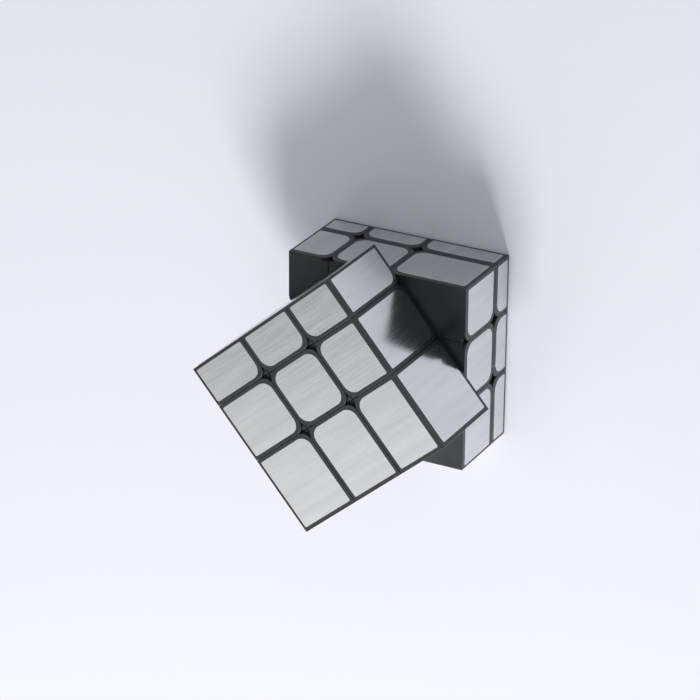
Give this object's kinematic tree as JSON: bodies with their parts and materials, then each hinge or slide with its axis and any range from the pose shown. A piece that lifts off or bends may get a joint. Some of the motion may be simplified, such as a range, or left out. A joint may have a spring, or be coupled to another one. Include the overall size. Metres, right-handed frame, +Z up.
{
  "type": "mirror block cube",
  "caption": "Twisting puzzle cube with silver-faced black pieces in layers of unequal thickness, lying flat with its thickest layer part turned.",
  "frame": {"origin": "on the top layer's turning axis, at the face of the thinnest layer that the puzzle lies on", "axes": "+Z up along the turning axis through the thickest layer; +X towards the 25 mm layer and +Y towards the 17 mm layer, square to the unturned middle slice"},
  "size_m": [0.0804, 0.0803, 0.057],
  "materials": {
    "black_plastic": "satin moulded ABS",
    "core_plastic": "moulded nylon",
    "zinc_steel": "bright zinc plate",
    "silver_film": "brushed metallised film"
  },
  "bodies": {
    "root": {"edge_left_near": "black_plastic", "centre_left": "black_plastic", "cap_left": "black_plastic", "screw_left": "zinc_steel", "washer_left": "zinc_steel", "spring_left": "zinc_steel", "edge_left_far": "black_plastic", "centre_near": "black_plastic", "cap_near": "black_plastic", "screw_near": "zinc_steel", "washer_near": "zinc_steel", "spring_near": "zinc_steel", "screw_bottom": "zinc_steel", "washer_bottom": "zinc_steel", "spring_bottom": "zinc_steel", "screw_top": "zinc_steel", "washer_top": "zinc_steel", "spring_top": "zinc_steel", "centre_far": "black_plastic", "cap_far": "black_plastic", "screw_far": "zinc_steel", "washer_far": "zinc_steel", "spring_far": "zinc_steel", "edge_right_near": "black_plastic", "centre_right": "black_plastic", "cap_right": "black_plastic", "screw_right": "zinc_steel", "washer_right": "zinc_steel", "spring_right": "zinc_steel", "edge_right_far": "black_plastic", "core": "core_plastic"},
    "top_layer": {"corner_top_left_near": "black_plastic", "edge_top_left": "black_plastic", "corner_top_left_far": "black_plastic", "edge_top_near": "black_plastic", "centre_top": "black_plastic", "cap_top": "black_plastic", "edge_top_far": "black_plastic", "corner_top_right_near": "black_plastic", "edge_top_right": "black_plastic", "corner_top_right_far": "black_plastic"},
    "bottom_layer": {"corner_bottom_left_near": "black_plastic", "edge_bottom_left": "black_plastic", "corner_bottom_left_far": "black_plastic", "edge_bottom_near": "black_plastic", "centre_bottom": "black_plastic", "cap_bottom": "black_plastic", "edge_bottom_far": "black_plastic", "corner_bottom_right_near": "black_plastic", "edge_bottom_right": "black_plastic", "corner_bottom_right_far": "black_plastic"}
  },
  "joints": [
    {"name": "top_layer_turn", "type": "hinge", "parent": "root", "child": "top_layer", "pos_m": [0, 0, 0.0185], "axis": [0, 0, 1], "continuous": true},
    {"name": "bottom_layer_turn", "type": "hinge", "parent": "root", "child": "bottom_layer", "pos_m": [0, 0, 0.0185], "axis": [0, 0, -1], "continuous": true}
  ]
}
